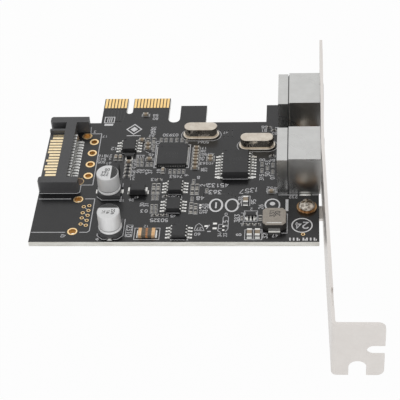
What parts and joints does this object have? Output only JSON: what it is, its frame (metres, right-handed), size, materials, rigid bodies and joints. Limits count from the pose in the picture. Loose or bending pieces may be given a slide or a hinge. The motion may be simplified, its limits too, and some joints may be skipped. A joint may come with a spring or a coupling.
{
  "type": "pcie adapter card",
  "caption": "Black adapter card with a gold edge tongue, a steel slot bracket, shielded round jacks and a flat power plug.",
  "frame": {"origin": "centre line of the tongue's key notch, at the tongue's tip, on the component surface", "axes": "+X towards the slot bracket, +Y out of the tongue into its slot, +Z away from the component surface"},
  "size_m": [0.0954, 0.1209, 0.0184],
  "materials": {
    "board_laminate": "satin",
    "gold_plate": "polished",
    "bracket_steel": "satin",
    "screw_brass": "polished",
    "jack_tinplate": "polished",
    "black_plastic": "matte",
    "tin_plate": "satin",
    "can_aluminium": "satin",
    "crystal_nickel": "polished",
    "chip_plastic": "matte",
    "inductor_grey": "matte",
    "fuse_brown": "matte",
    "capacitor_tan": "satin",
    "resistor_black": "satin"
  },
  "bodies": {
    "root": {"circuit_board": "board_laminate", "edge_contacts_component_side": "gold_plate", "edge_contacts_solder_side": "gold_plate", "large_plated_holes": "gold_plate", "small_plated_holes": "gold_plate", "power_plug_contacts": "gold_plate", "slot_bracket": "bracket_steel", "bracket_screws": "screw_brass", "front_jack_shield": "jack_tinplate", "front_jack_back_cover": "jack_tinplate", "front_jack_insert": "black_plastic", "front_jack_contacts": "tin_plate", "rear_jack_shield": "jack_tinplate", "rear_jack_back_cover": "jack_tinplate", "rear_jack_insert": "black_plastic", "rear_jack_contacts": "tin_plate", "power_plug_housing": "black_plastic", "capacitor_1_can": "can_aluminium", "capacitor_1_base": "black_plastic", "capacitor_1_leads": "tin_plate", "crystal_1_can": "crystal_nickel", "crystal_1_base": "crystal_nickel", "capacitor_2_can": "can_aluminium", "capacitor_2_base": "black_plastic", "capacitor_2_leads": "tin_plate", "crystal_2_can": "crystal_nickel", "crystal_2_base": "crystal_nickel", "controller_chip_body": "chip_plastic", "interface_chip_body": "chip_plastic", "small_chip_1_body": "chip_plastic", "small_chip_2_body": "chip_plastic", "small_chip_3_body": "chip_plastic", "small_chip_4_body": "chip_plastic", "transistor_body": "chip_plastic", "regulator_body": "chip_plastic", "diode_bodies": "chip_plastic", "controller_chip_pads": "tin_plate", "interface_chip_leads": "tin_plate", "small_chip_1_leads": "tin_plate", "small_chip_2_leads": "tin_plate", "small_chip_3_leads": "tin_plate", "small_chip_4_leads": "tin_plate", "transistor_leads": "tin_plate", "regulator_leads": "tin_plate", "diode_terminals": "tin_plate", "inductor_terminals": "tin_plate", "fuse_terminals": "tin_plate", "bulk_capacitor_ends": "tin_plate", "chip_capacitor_ends": "tin_plate", "chip_resistor_ends": "tin_plate", "solder_pads": "tin_plate", "solder_joints": "tin_plate", "inductor_body": "inductor_grey", "fuse_body": "fuse_brown", "bulk_capacitor_bodies": "capacitor_tan", "chip_capacitor_bodies": "capacitor_tan", "chip_resistor_bodies": "resistor_black"}
  },
  "joints": []
}
